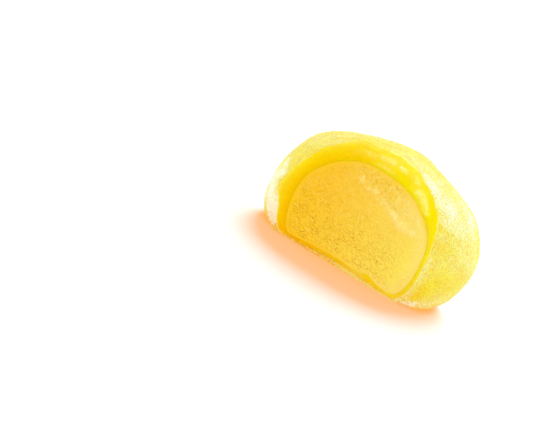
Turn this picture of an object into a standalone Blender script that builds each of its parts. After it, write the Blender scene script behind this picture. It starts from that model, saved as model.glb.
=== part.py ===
"""Ice-cream mochi with a bite taken out, resting flat on its base.

A skin of soft rice dough wraps a ball of ice cream that has settled into a low
dome with a flat foot. The bite is taken from the -Y side, so the ice cream shows
there as a nearly flat face with the bitten edge of the dough all round it.

Both surfaces are worked out as distances from one inner point, the heart, which
lies on the dome's axis at the level of the waist. A direction from the heart is
given by its clock angle round the bite (0 at +X, 90 degrees at the top) and by its
reach: 0 points straight out through the bite and 180 degrees at the far side.

Metres, +Z up. The origin is the bottom centre of the whole piece's box.
"""

import bpy
import numpy as np

MM = 0.001
TINY = 1e-9

# The piece before the bite: widest at the waist, tucked in to a flat foot. Its edge
# on the table is sharper at the bite than at the sides and the back, which lie at
# these reaches in degrees.
DOME_RADIUS = 24.5 * MM
DOME_HEIGHT = 28.4 * MM
WAIST_HEIGHT = 11.3 * MM
CROWN_POWER = 2.05
FOOT_DEPTH = 21.4 * MM
FOOT_POWER = 2.6
FOOT_ROUNDING = 1.5 * MM
CAVITY_ROUNDING = 1.0 * MM
SIDE_ROUNDING = 4.0 * MM
BACK_ROUNDING = 5.0 * MM
ROUNDING_REACHES = (48, 90, 135)

# Soft unevenness of the outside: clock angle and reach of the middle, half width
# (all degrees) and height in millimetres, where a negative height is a dent.
LUMPS = (
    (54, 107, 15, -1.15),
    (84, 102, 15, 0.50),
    (14, 102, 16, 0.35),
    (192, 64, 14, 0.55),
    (332, 62, 13, 0.70),
    (166, 78, 12, -0.60),
    (121, 92, 16, -0.35),
    (30, 140, 20, 0.40),
    (150, 135, 18, -0.45),
    (205, 125, 20, 0.35),
)

# The bite: its face stands this far in front of the dome's axis. It turns slightly
# away towards -X, and its upper part was bitten deeper.
BITE_DEPTH = 17.75 * MM
BITE_TURN = 0.04
CROWN_SETBACK = 3.0 * MM
SETBACK_FROM = 12.0 * MM
SETBACK_TO = 24.0 * MM

# A tooth mark crosses the upper face: a ridge that falls towards +X, with the
# crescent above it sunk. It fades out between each pair of places along X.
RIDGE_HEIGHT = 18.6 * MM
RIDGE_FALL = 0.33
RIDGE_WIDTH = 0.9 * MM
CRESCENT_DEPTH = 0.35 * MM
CRESCENT_START = (-9 * MM, -3 * MM)
CRESCENT_END = (9 * MM, 15 * MM)

# The dough. Its wall at the bite, and how far the wall's outer edge is pulled back
# behind the face, change round the clock: (clock angle in degrees, millimetres).
# Between two reaches in degrees the wall evens out to the one at the back. The
# bitten edge swells by a share of its own width.
BACK_WALL = 1.8 * MM
EVENED_OUT = (60, 120)
WALL_AT_BITE = (
    (0, 0.8),
    (20, 1.0),
    (40, 1.8),
    (90, 2.0),
    (120, 1.6),
    (150, 1.5),
    (180, 1.2),
    (215, 1.1),
    (240, 0.9),
    (340, 0.8),
)
PULLED_BACK = (
    (0, 0.1),
    (15, 0.2),
    (30, 0.9),
    (60, 1.5),
    (75, 2.4),
    (90, 3.4),
    (105, 3.0),
    (118, 4.8),
    (130, 2.8),
    (145, 2.0),
    (160, 1.2),
    (174, 2.0),
    (187, 2.9),
    (202, 0.8),
    (225, 0.5),
    (315, 0.4),
)
LIP_CROWN = 0.12

# The clearance between the dough and the ice cream.
GAP = 0.3 * MM

# The dough under the ice cream is thin. A small fold in it lifts the ice cream's
# lower edge at one place along X, and the front edge arches a little off the table.
# Both fade away between two distances behind the dome's front.
BASE_WALL = 1.0 * MM
FOLD_X = 12.3 * MM
FOLD_HALF_WIDTH = 1.6 * MM
FOLD_HEIGHT = 0.5 * MM
ARCH_X = 2.0 * MM
ARCH_HALF_WIDTH = 8.0 * MM
ARCH_HEIGHT = 0.5 * MM
FRONT_EDGE = (-14.0 * MM, -8.0 * MM)

# Steps round the clock, and rows over the outside, the lip, the cavity and the face.
CLOCK_STEPS = 96
OUTSIDE_ROWS = 28
LIP_ROWS = 4
CAVITY_ROWS = 14
FACE_ROWS = 8
OUTSIDE_CROWDING = 1.1

# A surface is found on a ray, and its edge on a row, by halving a stretch this many
# times. The bite's edge is looked for between these two reaches, in degrees.
HALVINGS = 36
EDGE_REACHES = (5, 100)

DOUGH_COLOUR = (1.0, 0.66, 0.03, 1.0)
DOUGH_ROUGHNESS = 0.5
ICE_CREAM_COLOUR = (1.0, 0.60, 0.09, 1.0)
ICE_CREAM_ROUGHNESS = 0.6

# The bite shortens the piece, so the dome's axis stands off the middle of its box.
AXIS_X = -0.1 * MM
AXIS_Y = -3.1 * MM


def round_the_clock(stations, clock):
    """Closed smooth curve through the stations: a cubic between each pair, whose
    slope at a station is that of the line joining its two neighbours. Metres."""
    turn = 2 * np.pi
    angle, value = np.array(stations).T
    angle = np.radians(angle)
    angle = np.concatenate([angle[-1:] - turn, angle, angle[:2] + turn])
    value = MM * np.concatenate([value[-1:], value, value[:2]])
    slope = (value[2:] - value[:-2]) / (angle[2:] - angle[:-2])
    angle, value = angle[1:-1], value[1:-1]
    clock = angle[0] + np.mod(clock - angle[0], turn)
    i = np.clip(np.searchsorted(angle, clock, side="right") - 1, 0, len(angle) - 2)
    span = angle[i + 1] - angle[i]
    part = (clock - angle[i]) / span
    ease = part * part * (3 - 2 * part)
    bend = part * (1 - part)
    lean = slope[i] * (1 - part) - slope[i + 1] * part
    return value[i] * (1 - ease) + value[i + 1] * ease + bend * span * lean


def smooth_step(value, low, high):
    """0 below low, 1 above high, and an S-shaped ease between them."""
    part = np.clip((value - low) / (high - low), 0, 1)
    return part * part * (3 - 2 * part)


def bell(value, middle, width):
    """1 at the middle, falling off as the normal curve does."""
    return np.exp(-(((value - middle) / width) ** 2))


def direction(clock, reach):
    """Unit vectors from the heart, pointing to -Y where reach is 0."""
    side = np.sin(reach)
    return np.stack([side * np.cos(clock), -np.cos(reach) + 0 * clock, side * np.sin(clock)], axis=-1)


def lump_height(ways):
    """Sum of the lumps, each a bell of the angle between the way and its middle."""
    height = np.zeros(ways.shape[:-1])
    for clock, reach, width, top in LUMPS:
        middle = direction(np.radians(clock), np.radians(reach))
        angle = np.degrees(np.arccos(np.clip(ways @ middle, -1, 1)))
        height += top * MM * bell(angle, 0, width)
    return height


def front_edge_lift(ways, x_middle, half_width, height):
    """A lift of the underside's front edge, a bell along X that fades out further
    back. A way's place under the piece is where it would meet the table."""
    down = np.maximum(-ways[..., 2], TINY)
    x = ways[..., 0] / down * WAIST_HEIGHT
    y = ways[..., 1] / down * WAIST_HEIGHT
    return height * bell(x, x_middle, half_width) * (1 - smooth_step(y, *FRONT_EDGE))


def shell(clock, reach, wall, floor_wall, rounding):
    """Points of the surface that lies wall beneath the outside and floor_wall above
    the table. Above the waist and below it the outline is a superellipse, and the
    table cuts the lower one off with a rounded edge: a point is on the surface where
    the smooth greater of its distances past the outline and past the table is 0."""
    ways = direction(clock, reach)
    across = np.hypot(ways[..., 0], ways[..., 1]) / (DOME_RADIUS - wall)
    rise = np.abs(ways[..., 2])
    crown_height = DOME_HEIGHT - WAIST_HEIGHT - wall
    crown = across**CROWN_POWER + (rise / crown_height) ** CROWN_POWER
    foot = across**FOOT_POWER + (rise / (FOOT_DEPTH - wall)) ** FOOT_POWER
    upwards = ways[..., 2] >= 0
    far = np.where(upwards, crown ** (-1 / CROWN_POWER), foot ** (-1 / FOOT_POWER))
    far = far + lump_height(ways)
    arch = front_edge_lift(ways, ARCH_X, ARCH_HALF_WIDTH, ARCH_HEIGHT)
    drop = WAIST_HEIGHT - floor_wall - arch
    fall = -ways[..., 2]
    roundings = (rounding, SIDE_ROUNDING, BACK_ROUNDING)
    rounding = np.interp(np.degrees(reach), ROUNDING_REACHES, roundings)
    to_table = np.where(fall > 0, drop / np.maximum(fall, TINY), far)
    low = np.minimum(far, to_table) - BACK_ROUNDING
    high = far
    for _ in range(HALVINGS):
        middle = (low + high) / 2
        past_outline = middle - far
        past_table = middle * fall - drop
        share = np.clip(0.5 + 0.5 * (past_outline - past_table) / rounding, 0, 1)
        past = past_table + (past_outline - past_table) * share + rounding * share * (1 - share)
        low = np.where(past < 0, middle, low)
        high = np.where(past < 0, high, middle)
    far = (low + high) / 2
    points = ways * far[..., None]
    points[..., 2] += WAIST_HEIGHT
    return points


def bite_face(x, z):
    """How far along Y the bitten face stands at x, z: a plane turned about Z, set
    back in its upper part, with the crescent sunk above the tooth mark's ridge."""
    crown = CROWN_SETBACK * (np.maximum(z - SETBACK_FROM, 0) / (SETBACK_TO - SETBACK_FROM)) ** 2
    above = z - (RIDGE_HEIGHT - RIDGE_FALL * x)
    crescent = CRESCENT_DEPTH * smooth_step(above, -RIDGE_WIDTH, RIDGE_WIDTH)
    crescent *= smooth_step(x, *CRESCENT_START) * (1 - smooth_step(x, *CRESCENT_END))
    return -BITE_DEPTH + BITE_TURN * x + crown + crescent


def wall_at(clock, reach):
    """The dough's wall: as at the bite in front, the same all round at the back."""
    back = smooth_step(np.degrees(reach), *EVENED_OUT)
    return round_the_clock(WALL_AT_BITE, clock) * (1 - back) + BACK_WALL * back


def outside(clock, reach):
    """The dough's outer surface."""
    return shell(clock, reach, 0.0, 0.0, FOOT_ROUNDING)


def cavity(clock, reach, gap=0.0):
    """The dough's inner surface, or with a gap the ice cream's, which lies inside it."""
    wall = wall_at(clock, reach) + gap
    fold = front_edge_lift(direction(clock, reach), FOLD_X, FOLD_HALF_WIDTH, FOLD_HEIGHT)
    return shell(clock, reach, wall, BASE_WALL + fold + gap, CAVITY_ROUNDING)


def filling(clock, reach):
    """The ice cream's surface where it lies against the dough."""
    return cavity(clock, reach, GAP)


def reach_of_edge(surface, clock, behind):
    """The reach where a surface meets the bite's face moved back by behind, found by
    halving the stretch between a point in front of the face and one behind it."""
    low = np.full_like(clock, np.radians(EDGE_REACHES[0]))
    high = np.full_like(clock, np.radians(EDGE_REACHES[1]))
    for _ in range(HALVINGS):
        middle = (low + high) / 2
        x, y, z = np.moveaxis(surface(clock, middle), -1, 0)
        in_front = y < bite_face(x, z) + behind
        low = np.where(in_front, middle, low)
        high = np.where(in_front, high, middle)
    return (low + high) / 2


def rows_to_edge(surface, clock, edge, rows, crowding=1.0):
    """Rows of points from near the far pole to the edge. A crowding over 1 brings
    them closer together towards the edge."""
    part = (np.arange(1, rows + 1) / rows)[:, None]
    reach = np.pi + (edge - np.pi) * (1 - (1 - part) ** crowding)
    return surface(np.broadcast_to(clock, reach.shape), reach)


def lip_rows(outer_edge, inner_edge, rows):
    """The bitten edge of the dough, from the outside to the cavity: a straight line
    that swells forwards and outwards by a share of its length."""
    heart = np.array([0, 0, WAIST_HEIGHT])
    outwards = (outer_edge - heart) * [1, 0, 1]
    outwards /= np.linalg.norm(outwards, axis=-1, keepdims=True)
    line = inner_edge - outer_edge
    inwards = -(line * outwards).sum(axis=-1, keepdims=True)
    forwards = -line[..., 1:2]
    swell = LIP_CROWN * (outwards * forwards + np.array([0, -1, 0]) * inwards)
    part = (np.arange(1, rows + 1) / (rows + 1))[:, None, None]
    return outer_edge + line * part + 4 * part * (1 - part) * swell


def closed_mesh(name, far_pole, rings, near_pole, turned_from):
    """One closed body from a pole, rings of points and a second pole. The rings run
    forwards over the outside, and round each one the clock runs on, so faces whose
    corners follow the clock first and the rings second point outwards. A face is
    split between its first and third corner: from the ring turned_from, where the
    rings run back into the cavity, it starts one corner on, so that both sides of
    the gap are split alike."""
    count = rings.shape[1]
    points = np.concatenate([[far_pole], rings.reshape(-1, 3), [near_pole]])
    points += [AXIS_X, AXIS_Y, 0]
    here = np.arange(count)
    after = (here + 1) % count
    faces = [(0, a, b) for a, b in zip(1 + after, 1 + here)]
    for ring in range(len(rings) - 1):
        this = 1 + ring * count
        that = this + count
        corners = [this + here, this + after, that + after, that + here]
        if ring >= turned_from:
            corners = corners[1:] + corners[:1]
        faces += list(zip(*corners))
    last = 1 + (len(rings) - 1) * count
    faces += [(len(points) - 1, a, b) for a, b in zip(last + here, last + after)]
    mesh = bpy.data.meshes.new(name)
    mesh.from_pydata(points.tolist(), [], [tuple(map(int, face)) for face in faces])
    mesh.shade_smooth()
    body = bpy.data.objects.new(name, mesh)
    bpy.context.scene.collection.objects.link(body)
    return body


def finish(body, colour, roughness):
    """Gives a body a material of its own, which takes the body's name."""
    material = bpy.data.materials.new(body.name)
    material.use_nodes = True
    shader = material.node_tree.nodes["Principled BSDF"]
    shader.inputs["Base Color"].default_value = colour
    shader.inputs["Roughness"].default_value = roughness
    shader.inputs["Metallic"].default_value = 0.0
    body.data.materials.append(material)


def make_skin(clock):
    """The dough: outside, bitten lip and cavity in one closed body, like a deep cup."""
    outer_reach = reach_of_edge(outside, clock, round_the_clock(PULLED_BACK, clock))
    inner_reach = reach_of_edge(cavity, clock, 0.0)
    outer = rows_to_edge(outside, clock, outer_reach, OUTSIDE_ROWS, OUTSIDE_CROWDING)
    inner = rows_to_edge(cavity, clock, inner_reach, CAVITY_ROWS)
    lip = lip_rows(outer[-1], inner[-1], LIP_ROWS)
    rings = np.concatenate([outer, lip, inner[::-1]])
    outer_pole = outside(np.array(0.0), np.array(np.pi))
    inner_pole = cavity(np.array(0.0), np.array(np.pi))
    turned_from = OUTSIDE_ROWS + LIP_ROWS
    skin = closed_mesh("mochi_skin", outer_pole, rings, inner_pole, turned_from)
    finish(skin, DOUGH_COLOUR, DOUGH_ROUGHNESS)


def make_ice_cream(clock):
    """The filling: it lies a gap inside the cavity, up to the bitten face. Its rows
    lie on the cavity's own rays from the heart, so the gap stays open between them."""
    inner_reach = reach_of_edge(cavity, clock, 0.0)
    body = rows_to_edge(filling, clock, inner_reach, CAVITY_ROWS)
    edge = filling(clock, reach_of_edge(filling, clock, 0.0))[None]
    heart = np.array([0, 0, WAIST_HEIGHT])
    part = 1 - np.arange(1, FACE_ROWS + 1)[:, None, None] / (FACE_ROWS + 1)
    face = heart + (edge - heart) * part
    face[..., 1] = bite_face(face[..., 0], face[..., 2])
    centre = np.array([0, bite_face(0.0, WAIST_HEIGHT), WAIST_HEIGHT])
    far_pole = filling(np.array(0.0), np.array(np.pi))
    rings = np.concatenate([body, edge, face])
    ice_cream = closed_mesh("ice_cream", far_pole, rings, centre, len(rings))
    finish(ice_cream, ICE_CREAM_COLOUR, ICE_CREAM_ROUGHNESS)


for leftover in list(bpy.data.objects):
    bpy.data.objects.remove(leftover, do_unlink=True)

clock_angles = np.arange(CLOCK_STEPS) * 2 * np.pi / CLOCK_STEPS
make_skin(clock_angles)
make_ice_cream(clock_angles)
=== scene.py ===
"""Looks of the ice-cream mochi with a bite taken out: sticky mango dough, frosted
outside and wet at the bite, round a ball of dense mango ice cream.

Surfaces are worked out in millimetres from the dome's axis and the table, and moved
to their place in the frame, in metres, when a mesh is made.
"""

import bmesh
import bpy
import numpy as np
from mathutils import Matrix, Vector


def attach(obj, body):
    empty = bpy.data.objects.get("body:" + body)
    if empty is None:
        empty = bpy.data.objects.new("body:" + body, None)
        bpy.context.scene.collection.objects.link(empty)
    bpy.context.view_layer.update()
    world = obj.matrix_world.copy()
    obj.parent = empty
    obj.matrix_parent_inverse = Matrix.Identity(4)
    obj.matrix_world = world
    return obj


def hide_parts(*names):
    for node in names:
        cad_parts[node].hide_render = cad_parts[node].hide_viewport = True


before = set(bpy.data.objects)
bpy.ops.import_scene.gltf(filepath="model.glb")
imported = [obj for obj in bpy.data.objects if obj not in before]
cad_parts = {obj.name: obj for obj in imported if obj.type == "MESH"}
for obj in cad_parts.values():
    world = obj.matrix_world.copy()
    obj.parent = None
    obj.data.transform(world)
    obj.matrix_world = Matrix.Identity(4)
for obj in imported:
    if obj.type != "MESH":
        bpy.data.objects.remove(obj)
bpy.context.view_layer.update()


# ------------------------------------
# The dough: glutinous rice paste rolled out and pinched shut round the ice cream,
# which has settled into a low dome on a flat foot. It is one closed body, like a deep
# cup: the outside, the edge that the teeth left, and the inside against the filling.

MM = 0.001
DOME_RADIUS = 24.5
DOME_HEIGHT = 28.4
WAIST_HEIGHT = 11.3
CROWN_POWER = 2.05
FOOT_DEPTH = 21.4
FOOT_POWER = 2.6
FOOT_ROUNDING = 0.35
CAVITY_ROUNDING = 1.0
SIDE_ROUNDING = 4.0
BACK_ROUNDING = 5.0
ROUNDING_REACHES = (48, 90, 135)
AXIS = np.array([-0.1, -3.1, 0.0])
HEART = np.array([0.0, 0.0, WAIST_HEIGHT])
WITHOUT_Y = np.array([1, 0, 1])
TINY = 1e-9
DRAWN_FROM = 256

# Dents and bulges: clock angle and reach of the middle, half width (degrees), height.
LUMPS = (
    (55, 104, 15, -1.45),
    (84, 102, 15, 0.22),
    (17, 104, 15, 0.35),
    (192, 64, 14, 0.55),
    (332, 62, 13, 0.95),
    (358, 96, 13, 0.95),
    (168, 78, 12, -0.25),
    (148, 74, 12, 0.50),
    (121, 92, 16, -0.35),
    (30, 140, 20, 0.40),
    (150, 135, 18, -0.45),
    (205, 125, 20, 0.35),
)

# The bitten face, its deeper upper part, and the tooth mark across it.
BITE_DEPTH = 17.75
BITE_TURN = 0.04
CROWN_SETBACK = 3.0
SETBACK_FROM = 12.0
SETBACK_TO = 24.0
RIDGE_HEIGHT = 18.6
RIDGE_FALL = 0.33
RIDGE_WIDTH = 0.9
CRESCENT_DEPTH = 0.35
CRESCENT_START = (-9, -3)
CRESCENT_END = (9, 15)

# The wall at the bite and how far its outer edge is pulled back, round the clock.
BACK_WALL = 1.8
EVENED_OUT = (60, 120)
WALL_AT_BITE = (
    (0, 0.6),
    (20, 1.0),
    (40, 1.8),
    (90, 2.0),
    (120, 1.6),
    (150, 1.5),
    (180, 1.2),
    (215, 1.1),
    (240, 0.9),
    (310, 0.8),
    (332, 0.4),
    (345, 0.4),
)
PULLED_BACK = (
    (0, 0.1),
    (15, 0.2),
    (30, 0.9),
    (60, 1.5),
    (75, 2.4),
    (90, 3.4),
    (105, 3.0),
    (118, 4.8),
    (130, 2.8),
    (145, 2.0),
    (160, 1.2),
    (174, 2.0),
    (187, 2.9),
    (202, 0.8),
    (225, 0.5),
    (315, 0.4),
)

# How much the torn edge swells, how thick the base is, and what lifts the base's front
# edge: a narrow fold inside the dough, and a wide arch under it that fades out in Y.
LIP_CROWN = 0.12
BASE_WALL = 1.0
FOLD_X = 10.0
FOLD_HALF_WIDTH = 2.0
FOLD_HEIGHT = 0.9
ARCH_X = 0.5
ARCH_HALF_WIDTH = 10.0
ARCH_HEIGHT = 0.8
FRONT_EDGE = (-17.3, -15.8)

# An edge is found by halving a stretch of reaches (degrees) many times. The outside's
# rows crowd towards the bite.
HALVINGS = 30
EDGE_REACHES = (5, 100)
CLOCK_STEPS = 400
OUTSIDE_ROWS = 170
OUTSIDE_CROWDING = 1.35
LIP_ROWS = 32
CAVITY_ROWS = 8


def round_the_clock(stations, clock):
    """Closed smooth curve through the stations: a cubic between each pair, whose
    slope at a station is that of the line joining its two neighbours."""
    turn = 2 * np.pi
    angle, value = np.array(stations).T
    angle = np.radians(angle)
    angle = np.concatenate([angle[-1:] - turn, angle, angle[:2] + turn])
    value = np.concatenate([value[-1:], value, value[:2]])
    slope = (value[2:] - value[:-2]) / (angle[2:] - angle[:-2])
    angle, value = angle[1:-1], value[1:-1]
    clock = angle[0] + np.mod(clock - angle[0], turn)
    i = np.clip(np.searchsorted(angle, clock, side="right") - 1, 0, len(angle) - 2)
    span = angle[i + 1] - angle[i]
    part = (clock - angle[i]) / span
    ease = part * part * (3 - 2 * part)
    bend = part * (1 - part)
    lean = slope[i] * (1 - part) - slope[i + 1] * part
    return value[i] * (1 - ease) + value[i + 1] * ease + bend * span * lean


def smooth_step(value, low, high):
    """0 below low, 1 above high, and 3t^2 - 2t^3 of the share t between them."""
    part = np.clip((value - low) / (high - low), 0, 1)
    return part * part * (3 - 2 * part)


def bell(value, middle, width):
    """e to the minus square of the distance from the middle over the width."""
    return np.exp(-(((value - middle) / width) ** 2))


def noise(points, size, seed):
    """Gradient noise, about -0.7 to 0.7, in cells of the given size: each corner of a
    point's cell has a random direction, its dot product with the way from the corner
    to the point is the corner's say, and an S-shaped ease blends the eight of them."""
    draw = np.random.default_rng(seed)
    ways = draw.normal(size=(DRAWN_FROM, 3))
    ways /= np.linalg.norm(ways, axis=1, keepdims=True)
    order = draw.permutation(DRAWN_FROM)
    spot = points / size
    cell = np.floor(spot).astype(int)
    part = spot - cell
    ease = part**3 * (part * (part * 6 - 15) + 10)
    total = np.zeros(points.shape[:-1])
    for corner in np.ndindex(2, 2, 2):
        at = (cell + corner) % DRAWN_FROM
        first = order[at[..., 0]]
        second = order[(at[..., 1] + first) % DRAWN_FROM]
        way = ways[order[(at[..., 2] + second) % DRAWN_FROM]]
        share = np.where(np.array(corner) == 1, ease, 1 - ease).prod(axis=-1)
        total += share * (way * (part - corner)).sum(axis=-1)
    return total


def direction(clock, reach):
    """Unit vectors from the heart, pointing to -Y where reach is 0."""
    side = np.sin(reach)
    return np.stack([side * np.cos(clock), -np.cos(reach) + 0 * clock, side * np.sin(clock)], axis=-1)


def front_edge_lift(ways, x_middle, half_width, height):
    """A lift of the underside's front edge, a bell along X that fades out further
    back. A way's place under the piece is where it would meet the table."""
    down = np.maximum(-ways[..., 2], TINY)
    x = ways[..., 0] / down * WAIST_HEIGHT
    y = ways[..., 1] / down * WAIST_HEIGHT
    return height * bell(x, x_middle, half_width) * (1 - smooth_step(y, *FRONT_EDGE))


def shell(clock, reach, wall, floor_wall, rounding):
    """The surface that lies wall beneath the outside and floor_wall above the table:
    a superellipse above the waist and one below it, swelled by the lumps, and cut off
    by the table with a rounded edge, where the smooth greater of a point's distances
    past the outline and past the table is 0."""
    ways = direction(clock, reach)
    across = np.hypot(ways[..., 0], ways[..., 1]) / (DOME_RADIUS - wall)
    rise = np.abs(ways[..., 2])
    crown = across**CROWN_POWER + (rise / (DOME_HEIGHT - WAIST_HEIGHT - wall)) ** CROWN_POWER
    foot = across**FOOT_POWER + (rise / (FOOT_DEPTH - wall)) ** FOOT_POWER
    upwards = ways[..., 2] >= 0
    far = np.where(upwards, crown ** (-1 / CROWN_POWER), foot ** (-1 / FOOT_POWER))
    for lump_clock, lump_reach, width, top in LUMPS:
        middle = direction(np.radians(lump_clock), np.radians(lump_reach))
        angle = np.degrees(np.arccos(np.clip(ways @ middle, -1, 1)))
        far = far + top * bell(angle, 0, width)
    arch = front_edge_lift(ways, ARCH_X, ARCH_HALF_WIDTH, ARCH_HEIGHT)
    drop = WAIST_HEIGHT - floor_wall - arch
    fall = -ways[..., 2]
    roundings = (rounding, SIDE_ROUNDING, BACK_ROUNDING)
    rounding = np.interp(np.degrees(reach), ROUNDING_REACHES, roundings)
    to_table = np.where(fall > 0, drop / np.maximum(fall, TINY), far)
    low = np.minimum(far, to_table) - BACK_ROUNDING
    high = far
    for _ in range(HALVINGS):
        middle = (low + high) / 2
        past_outline = middle - far
        past_table = middle * fall - drop
        share = np.clip(0.5 + 0.5 * (past_outline - past_table) / rounding, 0, 1)
        past = past_table + (past_outline - past_table) * share + rounding * share * (1 - share)
        low = np.where(past < 0, middle, low)
        high = np.where(past < 0, high, middle)
    return HEART + ways * ((low + high) / 2)[..., None]


def bite_face(x, z):
    """Where the bitten face stands along Y: a plane turned about Z, set back by a
    square law in its upper part, with a crescent sunk above the tooth mark's ridge."""
    crown = CROWN_SETBACK * (np.maximum(z - SETBACK_FROM, 0) / (SETBACK_TO - SETBACK_FROM)) ** 2
    above = z - (RIDGE_HEIGHT - RIDGE_FALL * x)
    crescent = CRESCENT_DEPTH * smooth_step(above, -RIDGE_WIDTH, RIDGE_WIDTH)
    crescent *= smooth_step(x, *CRESCENT_START) * (1 - smooth_step(x, *CRESCENT_END))
    return -BITE_DEPTH + BITE_TURN * x + crown + crescent


def outside(clock, reach):
    """The dough's outer surface."""
    return shell(clock, reach, 0.0, 0.0, FOOT_ROUNDING)


def cavity(clock, reach):
    """The dough's inner surface. Its wall is as at the bite in front, and the same
    all round at the back."""
    back = smooth_step(np.degrees(reach), *EVENED_OUT)
    wall = round_the_clock(WALL_AT_BITE, clock) * (1 - back) + BACK_WALL * back
    fold = front_edge_lift(direction(clock, reach), FOLD_X, FOLD_HALF_WIDTH, FOLD_HEIGHT)
    return shell(clock, reach, wall, BASE_WALL + fold, CAVITY_ROUNDING)


def reach_of_edge(surface, clock, behind):
    """The reach where a surface meets the bitten face moved back by behind, found by
    halving the stretch between a point in front of the face and one behind it."""
    low = np.full_like(clock, np.radians(EDGE_REACHES[0]))
    high = np.full_like(clock, np.radians(EDGE_REACHES[1]))
    for _ in range(HALVINGS):
        middle = (low + high) / 2
        x, y, z = np.moveaxis(surface(clock, middle), -1, 0)
        in_front = y < bite_face(x, z) + behind
        low = np.where(in_front, middle, low)
        high = np.where(in_front, high, middle)
    return (low + high) / 2


def rows_to_edge(surface, clock, edge, rows, crowding):
    """Rows of points from near the far pole to the edge, which they near by a power
    law: a crowding over 1 brings them closer together there."""
    part = (np.arange(1, rows + 1) / rows)[:, None]
    reach = np.pi + (edge - np.pi) * (1 - (1 - part) ** crowding)
    return surface(np.broadcast_to(clock, reach.shape), reach)


def ring_mesh(name, far_pole, rings, near_pole):
    """One closed body from a pole, rings of points and a second pole, smooth all over.
    A face's corners follow the clock first and the rings second, so it faces out."""
    count = rings.shape[1]
    points = np.concatenate([[far_pole], rings.reshape(-1, 3), [near_pole]])
    here = np.arange(count)
    after = (here + 1) % count
    start = 1 + count * np.arange(len(rings) - 1)[:, None]
    quads = np.stack([start + here, start + after, start + count + after, start + count + here], axis=-1)
    last = 1 + (len(rings) - 1) * count
    first_fan = np.stack([0 * here, 1 + after, 1 + here], axis=-1)
    last_fan = np.stack([0 * here + len(points) - 1, last + here, last + after], axis=-1)
    faces = first_fan.tolist() + quads.reshape(-1, 4).tolist() + last_fan.tolist()
    mesh = bpy.data.meshes.new(name)
    mesh.from_pydata(((points + AXIS) * MM).tolist(), [], faces)
    mesh.shade_smooth()
    piece = bpy.data.objects.new(name, mesh)
    bpy.context.scene.collection.objects.link(piece)
    return piece


def paint(piece, name, rings, far_value, near_value):
    """Keeps a value for each point of a ring mesh, for its material to read."""
    attribute = piece.data.attributes.new(name, "FLOAT", "POINT")
    values = np.concatenate([[far_value], rings.reshape(-1), [near_value]])
    attribute.data.foreach_set("value", values.astype(np.float32))


def crease(piece, ring, count):
    """Keeps the shading of the two sides of one ring's edges apart."""
    ends = np.empty(len(piece.data.edges) * 2, np.int32)
    piece.data.edges.foreach_get("vertices", ends)
    on_ring = ((ends.reshape(-1, 2) - 1) // count == ring).all(axis=1)
    sharp = piece.data.attributes.new("sharp_edge", "BOOLEAN", "EDGE")
    sharp.data.foreach_set("value", on_ring)


# The outside is gently uneven, and evens out towards the foot, which lies flat. Where
# the bite pulled at it, folds run back from the edge: start, end, half width, height.
UNEVEN = ((9.0, 0.34, 11), (3.4, 0.10, 12), (1.3, 0.035, 13))
FLAT_BELOW = (0.3, 2.5)
FOLDS = (
    ((15.9, -15.6, 18.0), (20.7, -9.5, 18.2), 0.9, 0.22),
    ((16.6, -15.3, 16.0), (20.6, -11.5, 14.6), 0.8, 0.16),
    ((16.2, -15.5, 17.1), (20.8, -10.5, 16.4), 0.5, -0.14),
    ((-19.5, -13.9, 14.6), (-20.6, -12.4, 12.2), 0.9, 0.18),
    ((-14.4, -10.4, 24.1), (-11.2, -9.2, 25.4), 0.9, 0.14),
)

# The torn edge: a ragged rim, fine shreds all over it, a strand where the dough was
# drawn out, and wet lumps on it. The strand and the lumps are also painted pale, partly
# their own paleness and partly a painted highlight of their wet shine. The strand has
# stations of clock angle and place across the edge, from 0 outside to 1 inside. A lump
# has these too, and then its half length, half width and height.
RAGGED = ((5.0, 0.55, 22), (1.8, 0.30, 23), (0.8, 0.12, 24))
RAGGED_FROM = 1.5
SHRED_SIZE = 0.9
SHRED_HEIGHT = 0.07
SHRED_DRAWN_OUT = (1, 0.5, 1)
STRAND = (
    (28, 0.72),
    (37, 0.72),
    (48, 0.54),
    (62, 0.38),
    (76, 0.48),
    (92, 0.56),
    (104, 0.46),
    (118, 0.36),
    (134, 0.20),
)
STRAND_HALF_WIDTH = 0.95
STRAND_HEIGHT = 0.12
STRAND_HIGHLIGHT = 0.06
WET_FROM_HEIGHT = 0.20
WET_MOTTLE = 1.6
WET_MOTTLE_SIZE = 0.4
WET_LUMPS = (
    (118, 0.66, 1.9, 0.80, 0.02),
    (108, 0.62, 2.0, 0.85, 0.06),
    (99, 0.58, 1.3, 0.70, 0.09),
    (91, 0.58, 1.6, 0.95, 0.11),
    (91, 0.85, 2.2, 0.60, 0.05),
    (77, 0.54, 1.2, 0.55, 0.14),
    (68, 0.50, 0.8, 0.55, 0.05),
    (61.5, 0.42, 1.2, 0.70, 0.09),
    (51, 0.62, 1.3, 0.85, 0.15),
    (46, 0.62, 1.1, 0.75, 0.15),
    (48, 0.72, 3.0, 0.80, 0.04),
    (40.5, 0.64, 0.9, 0.65, 0.14),
    (36, 0.72, 0.7, 0.50, 0.11),
)

# How pale the torn edge is apart from them, round the clock.
PALE_EDGE = (
    (0, 0.06),
    (18, 0.04),
    (32, 0.00),
    (150, 0.00),
    (235, 0.00),
    (255, 0.05),
    (285, 0.07),
    (295, 0.20),
    (303, 0.20),
    (310, 0.05),
    (318, 0.05),
    (323, 0.20),
    (330, 0.10),
    (345, 0.07),
)


def stroke(points, start, end, half_width):
    """A bell of the distance from a straight line between two points."""
    start, end = np.array(start, float), np.array(end, float)
    way = end - start
    share = np.clip(((points - start) @ way) / (way @ way + TINY), 0, 1)
    return bell(np.linalg.norm(points - start - share[..., None] * way, axis=-1), 0, half_width)


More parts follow.
